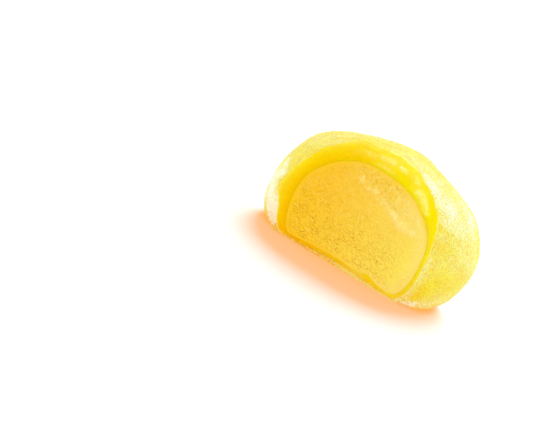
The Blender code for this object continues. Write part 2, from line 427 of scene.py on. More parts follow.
clock = np.arange(CLOCK_STEPS) * 2 * np.pi / CLOCK_STEPS
pulled = round_the_clock(PULLED_BACK, clock)
on_dome = direction(clock, np.pi / 2) * DOME_RADIUS
ragged = sum(height * noise(on_dome, size, seed) for size, height, seed in RAGGED)
outer_edge = reach_of_edge(outside, clock, pulled + ragged * np.minimum(pulled / RAGGED_FROM, 1))
inner_edge = reach_of_edge(cavity, clock, 0.0)
outer = rows_to_edge(outside, clock, outer_edge, OUTSIDE_ROWS, OUTSIDE_CROWDING)
inner = rows_to_edge(cavity, clock, inner_edge, CAVITY_ROWS, 1.0)

outwards = outer - HEART
outwards /= np.linalg.norm(outwards, axis=-1, keepdims=True)
uneven = sum(height * noise(outer, size, seed) for size, height, seed in UNEVEN)
uneven += sum(height * stroke(outer, start, end, wide) for start, end, wide, height in FOLDS)
outer = outer + outwards * (uneven * smooth_step(outer[..., 2], *FLAT_BELOW))[..., None]

# Across the lip: a line from the outer to the inner edge that swells forwards, with
# shreds, strand and lumps that fade out at both edges.
across = (np.arange(1, LIP_ROWS + 1) / (LIP_ROWS + 1))[:, None]
away = (outer[-1] - HEART) * WITHOUT_Y
away /= np.linalg.norm(away, axis=-1, keepdims=True)
line = inner[-1] - outer[-1]
width = np.linalg.norm(line, axis=-1)
inwards = -(line * away).sum(axis=-1, keepdims=True)
swell = LIP_CROWN * (away * -line[..., 1:2] + np.array([0, -1, 0]) * inwards)
lift = swell / np.linalg.norm(swell, axis=-1, keepdims=True)
lip = outer[-1] + line * across[..., None] + (4 * across * (1 - across))[..., None] * swell
rough_edge = SHRED_HEIGHT * noise(lip * SHRED_DRAWN_OUT, SHRED_SIZE, seed=21)

strand_clock, strand_place = np.radians([row[0] for row in STRAND]), [row[1] for row in STRAND]
strand = bell(across - np.interp(clock, strand_clock, strand_place), 0, STRAND_HALF_WIDTH / width)
strand *= smooth_step(clock, *strand_clock[:2]) * (1 - smooth_step(clock, *strand_clock[-3::2]))
rough_edge += STRAND_HEIGHT * strand
# How pale the torn edge is: its own paleness round the clock, and a painted highlight on the strand and
# the wet lumps.
pale_and_highlight = np.maximum(STRAND_HIGHLIGHT * strand, round_the_clock(PALE_EDGE, clock))
for lump_clock, place, half_length, half_width, height in WET_LUMPS:
    middle = int(round(lump_clock / 360 * CLOCK_STEPS))
    along = np.linalg.norm((lip - lip[LIP_ROWS // 2, middle]) * WITHOUT_Y, axis=-1)
    along = np.sqrt(np.maximum(along**2 - ((across - 0.5) * width) ** 2, 0))
    lump = np.exp(-((along / half_length) ** 2) - ((across - place) * width / half_width) ** 2)
    pale_and_highlight = np.maximum(pale_and_highlight, lump * min(height / WET_FROM_HEIGHT, 1))
    rough_edge += height * lump
pale_and_highlight = pale_and_highlight * np.clip(1.0 + WET_MOTTLE * noise(lip, WET_MOTTLE_SIZE, seed=36), 0, 1)
lip = lip + lift * (rough_edge * np.sin(np.pi * across) ** 0.5)[..., None]

rings = np.concatenate([outer, lip, inner[::-1]])
poles = [surface(np.array(0.0), np.array(np.pi)) for surface in (outside, cavity)]
dough = ring_mesh("dough", poles[0], rings, poles[1])
crease(dough, OUTSIDE_ROWS + LIP_ROWS, CLOCK_STEPS)
bitten_rows = np.arange(len(rings) + 1) >= OUTSIDE_ROWS
dough.data.polygons.foreach_set("material_index", np.repeat(bitten_rows, CLOCK_STEPS).astype(np.int32))

# How much frost lies on the dough: a little everywhere, in patches, more on top and at
# the back, and thick or thin where a stroke says so: start, end, half width and what
# it adds. ON_TOP and BEHIND are where in Z and in Y the frost thickens.
FROST_LEAST = 0.155
# The shares on top and at the back are frost, and also paint a pale sheen along the outline.
FROST_ON_TOP = 0.01
ON_TOP = (6, 26)
FROST_BEHIND = 0.14
BEHIND = (-1, 9)
FROST_PATCHES = ((6.0, 0.08, 31), (2.4, 0.09, 32))
BROKEN_UP = 1.3
BROKEN_SIZE = 0.6
FROST_STROKES = (
    ((2.5, -7.6, 27.6), (11.0, -12.0, 24.5), 1.6, 0.30),
    ((8.0, -10.6, 25.9), (13.4, -12.6, 22.8), 1.5, 0.22),
    ((6.5, -6.0, 27.6), (10.0, -7.0, 26.0), 2.0, 0.20),
    ((11.0, -9.5, 25.0), (15.5, -10.5, 22.5), 2.6, 0.42),
    ((14.5, -3.0, 24.8), (19.5, -2.0, 21.8), 3.0, 0.40),
    ((15.5, -7.6, 23.5), (19.2, -1.0, 22.1), 1.6, 0.16),
    ((16.5, -9.0, 22.0), (21.0, -5.0, 19.0), 2.6, 0.30),
    ((16.7, -12.2, 20.6), (19.2, -9.0, 19.8), 1.8, 0.22),
    ((21.5, -3.0, 19.5), (23.9, -1.6, 14.0), 2.6, 0.20),
    ((20.5, -11.0, 7.5), (24.2, -4.0, 8.0), 3.0, -0.13),
    ((23.5, -4.0, 4.0), (24.5, 0.0, 10.0), 2.0, 0.12),
    ((21.8, -8.8, 16.4), (24.4, -2.0, 11.9), 2.2, 0.12),
    ((17.0, -14.5, 17.5), (20.5, -10.5, 18.0), 2.2, 0.16),
    ((9.5, -13.2, 24.6), (13.5, -13.8, 22.0), 1.6, 0.22),
    # Painted shade: less frost in a narrow strip just outside the rim, for the rim's shadow.
    ((14.5, -13.8, 21.3), (16.2, -14.6, 19.4), 0.8, -0.06),
    ((15.9, -14.3, 19.7), (19.2, -10.8, 18.6), 1.4, 0.20),
    ((-11.0, -8.0, 26.5), (-16.0, -9.5, 22.5), 2.2, 0.06),
    ((-15.2, -13.6, 21.0), (-11.8, -12.2, 23.8), 1.2, 0.14),
    ((-9.4, -9.5, 25.8), (-5.5, -8.0, 27.2), 2.0, -0.09),
    ((-5.5, -4.5, 27.9), (8.0, -1.5, 27.6), 1.4, -0.22),
    ((12.0, -1.0, 25.5), (19.5, -0.5, 21.0), 2.0, 0.12),
    ((5.3, -6.7, 27.4), (11.2, -5.0, 26.2), 1.4, 0.10),
    ((17.5, -15.5, 11.0), (23.0, -6.0, 12.0), 4.0, 0.08),
    ((-24.3, -2.0, 17.0), (-23.6, -4.0, 3.0), 4.5, 0.50),
    ((-22.6, -8.5, 11.0), (-21.5, -10.5, 4.0), 2.5, 0.40),
    ((-19.5, -4.0, 22.0), (-24.0, -2.0, 16.0), 3.5, 0.22),
    # The white lip on the -X flank: thick frost, and partly a painted highlight on the dough.
    ((-21.5, -12.5, 8.5), (-18.8, -15.1, 3.8), 2.2, 1.10),
    ((-18.8, -15.1, 3.8), (-13.5, -17.8, 0.8), 1.6, 1.10),
    ((-20.4, -13.3, 13.5), (-19.9, -14.8, 11.8), 1.1, 0.55),
    ((-21.3, -11.5, 13.5), (-20.6, -13.7, 11.0), 1.5, 0.35),
    ((-19.4, -12.5, 16.5), (-19.8, -9.5, 18.5), 1.6, -0.08),
    ((-18.0, -12.0, 19.4), (-15.5, -11.5, 21.6), 1.6, 0.06),
    ((-14.6, -10.2, 23.7), (-11.0, -9.0, 25.5), 1.2, 0.14),
    ((-18.8, -4.5, 21.8), (-17.9, -11.3, 20.1), 1.6, 0.14),
    ((-17.9, -16.8, 8.0), (-16.2, -17.5, 3.5), 1.2, 0.50),
    ((17.3, -16.7, 3.0), (18.3, -16.4, 11.0), 1.2, 0.17),
    ((13.0, -17.8, 0.6), (18.6, -14.0, 0.8), 1.1, 0.55),
    ((18.6, -14.0, 0.9), (21.7, -10.8, 1.6), 1.2, 0.34),
    ((15.0, -17.0, 1.5), (23.5, -6.0, 3.0), 2.0, 0.16),
    ((16.4, -15.0, 18.7), (20.5, -10.1, 17.5), 0.8, -0.18),
    ((18.7, -15.0, 2.4), (20.0, -14.0, 5.2), 0.9, -0.20),
)

# How far the frost comes over the rim onto the torn edge, round the clock, made ragged
# by noise. It thins out from a share of that width on, and is never thinner at the rim
# than RIM_THICKNESS.
RIM_LEAST = 0.02
RIM_RAGGED = 1.2
RIM_RAGGED_SIZE = 1.5
RIM_THINS_FROM = 0.4
RIM_THICKNESS = 0.5
FROSTED_RIM = (
    (0, 0.15),
    (10, 0.20),
    (20, 0.45),
    (30, 0.55),
    (42, 0.35),
    (52, 0.60),
    (63, 0.45),
    (75, 0.80),
    (88, 1.20),
    (102, 0.80),
    (118, 0.30),
    (130, 0.10),
    (160, 0.06),
    (176, 0.03),
    (186, 0.04),
    (191, 0.70),
    (196, 1.15),
    (203, 0.55),
    (211, 0.30),
    (220, 0.90),
    (232, 0.40),
    (290, 0.50),
    (303, 0.80),
    (315, 1.20),
    (325, 0.60),
    (335, 0.15),
    (350, 0.10),
)


def frosting(points):
    """The least frost, plus shares for the top and the back, plus noise, plus the
    strokes, which a second noise breaks up."""
    frost = FROST_LEAST + FROST_ON_TOP * smooth_step(points[..., 2], *ON_TOP)
    frost = frost + FROST_BEHIND * smooth_step(points[..., 1], *BEHIND)
    frost = frost + sum(height * noise(points, size, seed) for size, height, seed in FROST_PATCHES)
    strokes = sum(more * stroke(points, start, end, wide) for start, end, wide, more in FROST_STROKES)
    return np.clip(frost + strokes * (1 + BROKEN_UP * noise(points, BROKEN_SIZE, seed=34)), 0, 1)


frost_rows = np.zeros(rings.shape[:-1])
frost_rows[:OUTSIDE_ROWS] = frosting(outer)
rim_width = round_the_clock(FROSTED_RIM, clock)
rim_width = rim_width * (1 + RIM_RAGGED * noise(on_dome, RIM_RAGGED_SIZE, seed=35))
rim_width = np.maximum(rim_width, RIM_LEAST)
rim = 1 - smooth_step(across * width, RIM_THINS_FROM * rim_width, rim_width)
rim = rim * np.maximum(frost_rows[OUTSIDE_ROWS - 1], RIM_THICKNESS)
# On the torn edge these values carry both the frost over the rim and the painted highlight on the wet
# lumps.
frost_rows[OUTSIDE_ROWS : OUTSIDE_ROWS + LIP_ROWS] = np.maximum(rim, pale_and_highlight)
paint(dough, "frost", frost_rows, frost_rows[0].mean(), 0.0)

# Painted shade on the bitten dough: its colour is a deeper amber where it lies in shade,
# inside by the ice cream, at the -X end and at the foot, with a random mottle. DEEP_FADES
# and FOOT_FADES are where in X this is lost, and FOOT_TOP where in Z.
DEEP_INSIDE = 0.85
DEEP_LOST = 0.80
DEEP_LEFT = 0.14
DEEP_FADES = (-14, 10)
FOOT_SHADE = 0.15
FOOT_FADES = (8, 15)
FOOT_TOP = (0.6, 2.5)
DEEP_MOTTLE = 0.15
DEEP_MOTTLE_SIZE = 3.0

right_side = smooth_step(lip[..., 0], *DEEP_FADES)
amber_shade = across * (DEEP_INSIDE - DEEP_LOST * right_side) + DEEP_LEFT * (1 - right_side)
foot = (1 - smooth_step(lip[..., 2], *FOOT_TOP)) * (1 - smooth_step(lip[..., 0], *FOOT_FADES))
amber_shade = amber_shade + foot * FOOT_SHADE + DEEP_MOTTLE * noise(lip, DEEP_MOTTLE_SIZE, seed=33)
amber_shade_rows = np.zeros(rings.shape[:-1])
amber_shade_rows[OUTSIDE_ROWS : OUTSIDE_ROWS + LIP_ROWS] = np.clip(amber_shade, 0, 1)
amber_shade_rows[OUTSIDE_ROWS - 1] = amber_shade_rows[OUTSIDE_ROWS]
amber_shade_rows[OUTSIDE_ROWS + LIP_ROWS :] = amber_shade_rows[OUTSIDE_ROWS + LIP_ROWS - 1]
paint(dough, "amber_shade", amber_shade_rows, 0.0, 1.0)
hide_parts("mochi_skin")
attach(dough, "root")


def add(tree, kind, inputs=None, **settings):
    """A new node with its settings and inputs. An input is a value or another node's
    output; its name is the socket's, or its number where names repeat."""
    node = tree.nodes.new("ShaderNode" + kind)
    for name, value in settings.items():
        setattr(node, name, value)
    for name, value in (inputs or {}).items():
        if isinstance(value, bpy.types.NodeSocket):
            tree.links.new(value, node.inputs[name])
        else:
            node.inputs[name].default_value = value
    return node


def grain(tree, size, detail=2.0, roughness=0.5):
    """Noise on Object coordinates, with features of about the given size in mm."""
    place = add(tree, "TexCoord").outputs["Object"]
    inputs = {"Vector": place, "Scale": 1 / (size * MM), "Detail": detail, "Roughness": roughness}
    return add(tree, "TexNoise", inputs).outputs["Fac"]


def leaning_grain(tree, size, lean):
    """Noise on Object coordinates in drawn-out features: their length and breadth in mm,
    and how many degrees they lean down to the right, as the bite is looked at."""
    inputs = {"Rotation": (0, np.radians(lean), 0), "Scale": (size[0] * MM, size[0] * MM, size[1] * MM)}
    inputs["Vector"] = add(tree, "TexCoord").outputs["Object"]
    place = add(tree, "Mapping", inputs, vector_type="TEXTURE").outputs["Vector"]
    return add(tree, "TexNoise", {"Vector": place, "Scale": 1.0, "Detail": 1.0}).outputs["Fac"]


def ramp(tree, value, low, high, bottom=0.0, top=1.0):
    """Eases from bottom to top as the value goes from low to high."""
    inputs = {"Value": value, "From Min": low, "From Max": high, "To Min": bottom, "To Max": top}
    return add(tree, "MapRange", inputs, interpolation_type="SMOOTHSTEP").outputs["Result"]


def reckon(tree, what, a, b):
    """The sum, product or other named operation of two values, never below 0."""
    value = add(tree, "Math", {0: a, 1: b}, operation=what).outputs["Value"]
    return add(tree, "Math", {0: value, 1: 0.0}, operation="MAXIMUM").outputs["Value"]


def blend_colours(tree, share, first, second):
    """The first colour where share is 0 and the second where it is 1."""
    node = add(tree, "Mix", {0: share, 6: first, 7: second}, data_type="RGBA", clamp_factor=True)
    return node.outputs[2]


def attribute(tree, name):
    """The value painted on the mesh under this name."""
    return add(tree, "Attribute", attribute_name=name).outputs["Fac"]


def bump(tree, height, distance, strength):
    """A normal that leans as the height does; the distance is in mm."""
    inputs = {"Height": height, "Distance": distance * MM, "Strength": strength}
    return add(tree, "Bump", inputs).outputs["Normal"]


def new_look(name):
    """An empty material: its node tree and its shader."""
    material = bpy.data.materials.new(name)
    material.use_nodes = True
    return material, material.node_tree, material.node_tree.nodes["Principled BSDF"]


def set_inputs(shader, settings):
    """Gives the shader's sockets of these names their values."""
    for name, value in settings.items():
        shader.inputs[name].default_value = value


def soft_inside(shader, weight, radius, scale):
    """Light that wanders under the surface: its share, its reach in each colour as
    shares of the scale, and the scale in mm."""
    reach = {"Subsurface Radius": radius, "Subsurface Scale": scale * MM}
    set_inputs(shader, {"Subsurface Weight": weight, **reach})


# Outside, the dough is matt with starch and frost; where it was bitten it is wet. A
# name in GRAIN gives a noise's size in mm, detail and roughness; one in RAMP, where an
# ease starts and ends and its values there, if not 0 and 1; one in BUMP, the distance
# in mm and the strength.
SKIN_DEEP = (0.94, 0.66, 0.010, 1.0)
SKIN_BRIGHT = (0.96, 0.80, 0.026, 1.0)
FROST_THIN = (0.96, 0.90, 0.33, 1.0)
FROST_CREAM = (0.96, 0.94, 0.58, 1.0)
FROST_THICK = (0.96, 0.97, 0.95, 1.0)
# The pit colour is painted shade for the hollows between the frost grains.
SKIN_PIT_SHADE = (0.60, 0.44, 0.03, 1.0)
PATCH_GRAIN = (3.0, 3.0)
PATCH_RAMP = (0.35, 0.65)
SPECKLE_GRAIN = (0.35, 3.0, 0.7)
SPECKLE_RAMP = (0.36, 0.64, 0.25, 1.25)
THIN_RAMP = (0.0, 0.6)
CREAM_RAMP = (0.4, 0.85)
THICK_RAMP = (0.9, 1.5)
PIT_GRAIN = (0.42, 2.0, 0.6)
PIT_SHADE_RAMP = (0.36, 0.54, 0.45, 0.0)
BARE_RAMP = (0.6, 1.2, 1.0, 0.0)
SKIN_BUMP = (0.15, 0.6)

look, tree, shader = new_look("dough_outside")
patches = ramp(tree, grain(tree, *PATCH_GRAIN), *PATCH_RAMP)
colour = blend_colours(tree, patches, SKIN_DEEP, SKIN_BRIGHT)
speckle = ramp(tree, grain(tree, *SPECKLE_GRAIN), *SPECKLE_RAMP)
frost = attribute(tree, "frost")
cover = reckon(tree, "MULTIPLY", frost, reckon(tree, "ADD", frost, speckle))
colour = blend_colours(tree, ramp(tree, cover, *THIN_RAMP), colour, FROST_THIN)
colour = blend_colours(tree, ramp(tree, cover, *CREAM_RAMP), colour, FROST_CREAM)
colour = blend_colours(tree, ramp(tree, cover, *THICK_RAMP), colour, FROST_THICK)
# Painted shade: where the frost is thin, the hollows between the frost grains are darkened towards the
# pit colour.
pit_shade = ramp(tree, grain(tree, *PIT_GRAIN), *PIT_SHADE_RAMP)
bare = ramp(tree, cover, *BARE_RAMP)
colour = blend_colours(tree, reckon(tree, "MULTIPLY", pit_shade, bare), colour, SKIN_PIT_SHADE)
tree.links.new(colour, shader.inputs["Base Color"])
tree.links.new(bump(tree, grain(tree, *PIT_GRAIN), *SKIN_BUMP), shader.inputs["Normal"])
settings = {
    "Roughness": 0.75,
    "Specular IOR Level": 0.25,
    "Specular Tint": (1.0, 0.93, 0.5, 1.0),
    "Sheen Weight": 0.35,
    "Sheen Roughness": 0.4,
    "Sheen Tint": (1.0, 1.0, 0.85, 1.0),
}
set_inputs(shader, settings)
soft_inside(shader, weight=0.3, radius=(1.0, 0.7, 0.2), scale=1.5)
dough.data.materials.append(look)

BITTEN_LEMON = (0.94, 0.75, 0.001, 1.0)
# The amber colour is painted shade.
BITTEN_AMBER_SHADE = (0.93, 0.52, 0.0, 1.0)
# The pale colour of the torn edge is frost, and a painted highlight on the wet lumps.
PALE_FROST_AND_HIGHLIGHT = (0.99, 0.93, 0.34, 1.0)
DEEPNESS_GRAIN = (1.2, 4.0, 0.65)
DEEPNESS_RAMP = (0.3, 0.7, -0.14, 0.14)
WET_GRAIN = (0.6, 3.0, 0.7)
WET_RAMP = (0.38, 0.62, 0.1, 1.1)
TORN_GRAIN = (0.8, 3.0, 0.6)
TORN_BUMP = (0.2, 0.3)
GLOSS_SIZE = 1.5
GLOSS_RAMP = (0.35, 0.65, 0.25, 0.42)

look, tree, shader = new_look("dough_bitten")
mottle = ramp(tree, grain(tree, *DEEPNESS_GRAIN), *DEEPNESS_RAMP)
shade_depth = reckon(tree, "ADD", attribute(tree, "amber_shade"), mottle)
colour = blend_colours(tree, shade_depth, BITTEN_LEMON, BITTEN_AMBER_SHADE)
speckle = ramp(tree, grain(tree, *WET_GRAIN), *WET_RAMP)
frost = attribute(tree, "frost")
cover = reckon(tree, "MULTIPLY", frost, reckon(tree, "ADD", frost, speckle))
tree.links.new(blend_colours(tree, cover, colour, PALE_FROST_AND_HIGHLIGHT), shader.inputs["Base Color"])
tree.links.new(bump(tree, grain(tree, *TORN_GRAIN), *TORN_BUMP), shader.inputs["Normal"])
tree.links.new(ramp(tree, grain(tree, GLOSS_SIZE), *GLOSS_RAMP), shader.inputs["Roughness"])
set_inputs(shader, {"Specular IOR Level": 0.12, "Specular Tint": (1.0, 0.9, 0.05, 1.0)})
soft_inside(shader, weight=0.35, radius=(1.0, 0.6, 0.1), scale=1.2)
dough.data.materials.append(look)


# ------------------------------------
# The frost on the dough: starch that it was rolled in, stuck together by ice. Dust
# lies everywhere, and crumbs of it where it is thick, with rime under the front edge.

# A size is a grain's least and greatest radius. The fringe has its stretch of the clock,
# its shift in Y (mean and spread), and how white it gets and where in X it does.
DUST_COUNT = 24000
DUST_SIZE = (0.07, 0.14)
CRUMB_COUNT = 7000
CRUMB_SIZE = (0.12, 0.24)
FRINGE_COUNT = 8000
FRINGE_SIZE = (0.07, 0.15)
FRINGE_CLOCK = (212, 329)
FRINGE_FROM = 0.04
FRINGE_FORWARDS = (-0.08, 0.10)
FRINGE_WHITE = 0.60
FRINGE_WHITER = (-8, 15)
HEM_END = 1.001
DUST_ON_RIM = 0.25
CRUMBS_FROM = 0.30
CRUMBS_ELSEWHERE = 0.04
CRUMBS_WHITER = 0.3
FROST_ABOVE = 0.35
STRETCH = (0.7, 1.3)


def scatter(grid, chance, count, draw):
    """Random places on a grid surface that closes round its rows, and the chance there.
    A cell is drawn by its area times its chance, and a place in it by two shares."""
    grid = np.concatenate([grid, grid[:, :1]], axis=1)
    chance = np.concatenate([chance, chance[:, :1]], axis=1)
    side = grid[1:, :-1] - grid[:-1, :-1]
    top = grid[:-1, 1:] - grid[:-1, :-1]
    say = np.linalg.norm(np.cross(side, top), axis=-1) * chance[:-1, :-1]
    drawn = np.searchsorted(np.cumsum(say), draw.random(count) * say.sum())
    row, column = np.unravel_index(np.minimum(drawn, say.size - 1), say.shape)
    along, up = draw.random((2, count, 1))
    return grid[row, column] + along * top[row, column] + up * side[row, column], chance[row, column]


def crystals(name, corners, faces, places, sizes, thickness, draw):
    """One mesh of many small solids: each is stretched a little along its own axes,
    turned by a random orthonormal matrix and set with its middle on its place."""
    count = len(places)
    turns = np.linalg.qr(draw.normal(size=(count, 3, 3)))[0]
    turns[:, 0] *= np.linalg.det(turns)[:, None]
    stretched = corners * draw.uniform(*STRETCH, (count, 1, 3)) * sizes[:, None, None]
    points = places[:, None] + stretched @ turns
    first = np.arange(count)[:, None, None] * len(corners)
    mesh = bpy.data.meshes.new(name)
    points = (points.reshape(-1, 3) + AXIS) * MM
    mesh.from_pydata(points.tolist(), [], (faces + first).reshape(-1, 3).tolist())
    frost = mesh.attributes.new("frost", "FLOAT", "POINT")
    frost.data.foreach_set("value", np.repeat(thickness, len(corners)).astype(np.float32))
    piece = bpy.data.objects.new(name, mesh)
    bpy.context.scene.collection.objects.link(piece)
    return piece


def facing_outwards(corners):
    """The octahedron's faces: a corner from each axis, in the order whose determinant
    is positive, which faces outwards."""
    sides = [(a, b, c) for a in (0, 1) for b in (2, 3) for c in (4, 5)]
    return np.array([s if np.linalg.det(corners[list(s)]) > 0 else s[::-1] for s in sides])


draw = np.random.default_rng(seed=51)
eight_corners = np.repeat(np.eye(3), 2, axis=0) * np.tile([[1], [-1]], (3, 1))
eight_faces = facing_outwards(eight_corners)
frosted = rings[: OUTSIDE_ROWS + LIP_ROWS]
share = frost_rows[: OUTSIDE_ROWS + LIP_ROWS] * (frosted[..., 2] > FROST_ABOVE)
share[OUTSIDE_ROWS:] = DUST_ON_RIM * rim
places, thickness = scatter(frosted, share, DUST_COUNT, draw)
sizes = draw.uniform(*DUST_SIZE, DUST_COUNT)
dust = crystals("frost_dust", eight_corners, eight_faces, places, sizes, thickness, draw)

twenty_sided = bmesh.new()
bmesh.ops.create_icosphere(twenty_sided, subdivisions=1, radius=1.0)
twenty_corners = np.array([corner.co for corner in twenty_sided.verts])
twenty_faces = np.array([[corner.index for corner in face.verts] for face in twenty_sided.faces])
twenty_sided.free()
thick = np.clip(share - CRUMBS_FROM, 0, 1) + CRUMBS_ELSEWHERE * share
places, thickness = scatter(frosted, thick, CRUMB_COUNT, draw)
sizes = draw.uniform(*CRUMB_SIZE, CRUMB_COUNT)
thickness = thickness + CRUMBS_WHITER
crumbs = crystals("frost_crumbs", twenty_corners, twenty_faces, places, sizes, thickness, draw)

# The fringe: rime under the front edge, from the bitten rim to the table. A place
# is a point of that edge, short of its last one, and moved by a bell-shaped draw in Y.
front = (np.degrees(clock) > FRINGE_CLOCK[0]) & (np.degrees(clock) < FRINGE_CLOCK[1])
hem = outer[-1][front]
spot = draw.uniform(0, len(hem) - HEM_END, FRINGE_COUNT)
before = spot.astype(int)
places = hem[before] + (hem[before + 1] - hem[before]) * (spot - before)[:, None]
places[:, 1] += draw.normal(*FRINGE_FORWARDS, FRINGE_COUNT)
places[:, 2] = FRINGE_FROM + (places[:, 2] - FRINGE_FROM) * draw.random(FRINGE_COUNT)
sizes = draw.uniform(*FRINGE_SIZE, FRINGE_COUNT)
whiter = FRINGE_WHITE * smooth_step(places[:, 0], *FRINGE_WHITER)
fringe = crystals("frost_fringe", eight_corners, eight_faces, places, sizes, whiter, draw)

CRYSTAL_WHITE = (1.00, 0.99, 0.78, 1.0)
CRYSTAL_LEMON = (0.99, 0.90, 0.26, 1.0)
CRYSTAL_AMBER = (0.98, 0.66, 0.10, 1.0)
TONE_SIZE = 0.4
TONE_RAMP = (0.35, 0.65, -0.2, 0.2)
LEMON_RAMP = (0.0, 0.25)
WHITE_RAMP = (0.45, 1.0)
GLINT_SIZE = 0.5
GLINT_RAMP = (0.4, 0.6, 0.35, 0.7)

look, tree, shader = new_look("frost")
mottle = ramp(tree, grain(tree, TONE_SIZE), *TONE_RAMP)
tone = reckon(tree, "ADD", attribute(tree, "frost"), mottle)
colour = blend_colours(tree, ramp(tree, tone, *LEMON_RAMP), CRYSTAL_AMBER, CRYSTAL_LEMON)
colour = blend_colours(tree, ramp(tree, tone, *WHITE_RAMP), colour, CRYSTAL_WHITE)
tree.links.new(colour, shader.inputs["Base Color"])
tree.links.new(ramp(tree, grain(tree, GLINT_SIZE), *GLINT_RAMP), shader.inputs["Roughness"])
set_inputs(shader, {"Specular IOR Level": 0.3, "Specular Tint": (1.0, 0.95, 0.6, 1.0)})
for piece in (dust, crumbs, fringe):
    piece.data.materials.append(look)
    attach(piece, "root")


# ------------------------------------
# The ice cream: a frozen scoop that fills the dough. It was bitten through, so the
# face shows drawn-out pores, and a tooth's crescent with a curl of ice cream pushed
# up on its ridge. It reaches a little way into the dough, so that no gap shows.

INTO_DOUGH = 0.05
BODY_ROWS = 8
FACE_ROWS = 142
FACE_STEPS = 640
SEAM_WIDTH = 0.5
SEAM_RISE = 0.06
RELIEF_FROM_EDGE = 1.2

# Pores and glints are dashes in cells: length, breadth, lean in degrees and seed. Noise
# bends their rows and weakens them in places, and they fade upwards and to the right.
PORE_CELLS = ((1.0, 0.55, -24, 41), (0.85, 0.50, 2, 54))
GLINT_CELLS = (1.0, 0.6, -12, 60)
PORE_HALF_WIDTH = 0.11
PORE_HALF_LENGTH = (0.05, 0.40)
PORE_TURN = 0.9
PORE_WEAKEST = 0.2
PORE_DEPTH = 0.12
PORES_WEAK = 0.55
PORES_STRONGER = 0.45
STRONG_SIZE = 2.6
STRONG_STEP = (-0.35, 0.15)
UPWARDS = 1.3
RIGHTWARDS = 0.3
RIGHT_FROM = -10
FADED_SHARE = 0.6
FADES_UP_AND_RIGHT = (10, 24)
FADES_RIGHT = (8, 15)
BEND = 0.5
BEND_SIZE = 1.6

# The rough upper part is torn along lines, where one noise is near 0 and another isn't
# low, and the whole face has grit and gentle swells: size, height and seed.
TORN_SHARE = 0.90
TORN_SIZE = 0.7
TORN_HALF_WIDTH = 0.16
TORN_GAP_SIZE = 0.9
TORN_GAP_STEP = (-0.1, 0.2)
TORN_ENDS = (4, 12)
ROUGH_STARTS = (-0.4, 1.0)
ROUGH_ENDS = (10, 15)
GRIT_SIZE = 0.5
GRIT_HEIGHT = 0.04
FINE_GRIT = 0.5
SWELLS = ((5.0, 0.15, 45), (2.2, 0.06, 46))


def filling(clock, reach):
    """The ice cream's surface: the cavity's, moved a little way into the dough."""
    return cavity(clock, reach) + direction(clock, reach) * INTO_DOUGH


def dashes(x, z, length, breadth, lean, seed):
    """Short strokes, one to a cell of a leaning grid, each moved, turned, stretched and
    weakened at random: the strongest bell of the distance from a stroke's middle line."""
    draw = np.random.default_rng(seed)
    order = draw.permutation(DRAWN_FROM)
    drawn = draw.random((DRAWN_FROM, 5))
    cos, sin = np.cos(np.radians(lean)), np.sin(np.radians(lean))
    along, up = x * cos + z * sin, z * cos - x * sin
    column = np.floor(along / length).astype(int)
    row = np.floor(up / breadth).astype(int)
    strongest = np.zeros_like(x)
    for step in np.ndindex(3, 3):
        i, k = column + step[0] - 1, row + step[1] - 1
        cell = order[(order[i % DRAWN_FROM] + k) % DRAWN_FROM]
        right, above, turn, reach, weight = np.moveaxis(drawn[cell], -1, 0)
        aside, over = along - (i + right) * length, up - (k + above) * breadth
        turn = PORE_TURN * (turn - 0.5)
        half_length = PORE_HALF_LENGTH[0] + (PORE_HALF_LENGTH[1] - PORE_HALF_LENGTH[0]) * reach
        past = np.maximum(np.abs(aside * np.cos(turn) + over * np.sin(turn)) - half_length, 0)
        off = over * np.cos(turn) - aside * np.sin(turn)
        weight = PORE_WEAKEST + (1 - PORE_WEAKEST) * weight
        stroke_here = bell(np.hypot(past, off), 0, PORE_HALF_WIDTH) * weight
        strongest = np.maximum(strongest, stroke_here)
    return strongest


def joined_strokes(points, corners, half_width):
    """The highest of the strokes along a bent line."""
    return np.max([stroke(points, a, b, half_width) for a, b in zip(corners, corners[1:])], axis=0)


# What the tooth pushed up: a curl, and a ridge that is broken up by noise.
CURL = ((-2.3, 0, 18.6), (-1.6, 0, 18.0), (-0.7, 0, 18.0), (0.3, 0, 18.8))
CURL_WIDTH = 0.35
CURL_HEIGHT = 0.22
RIDGE_LINE = (
    (-3.6, 0, 19.3),
    (-0.7, 0, 18.5),
    (2.2, 0, 17.9),
    (6.2, 0, 16.3),
    (8.9, 0, 14.9),
    (12.2, 0, 14.7),
)
RIDGE_LINE_WIDTH = 0.8
RIDGE_LINE_HEIGHT = 0.12
RIDGE_EVEN = 0.8
RIDGE_LUMP_SIZE = 1.2

clock = np.arange(FACE_STEPS) * 2 * np.pi / FACE_STEPS
body = rows_to_edge(filling, clock, reach_of_edge(cavity, clock, 0.0), BODY_ROWS, 1.0)
edge = filling(clock, reach_of_edge(filling, clock, 0.0))
part = 1 - np.arange(FACE_ROWS)[:, None, None] / FACE_ROWS
face = HEART + (edge - HEART) * part
x, z = face[..., 0], face[..., 2]
from_edge = np.linalg.norm((edge - HEART) * WITHOUT_Y, axis=-1) * (1 - part[..., 0])
flat = np.stack([x, 0 * x, z], axis=-1)
inside = smooth_step(from_edge, 0, RELIEF_FROM_EDGE)

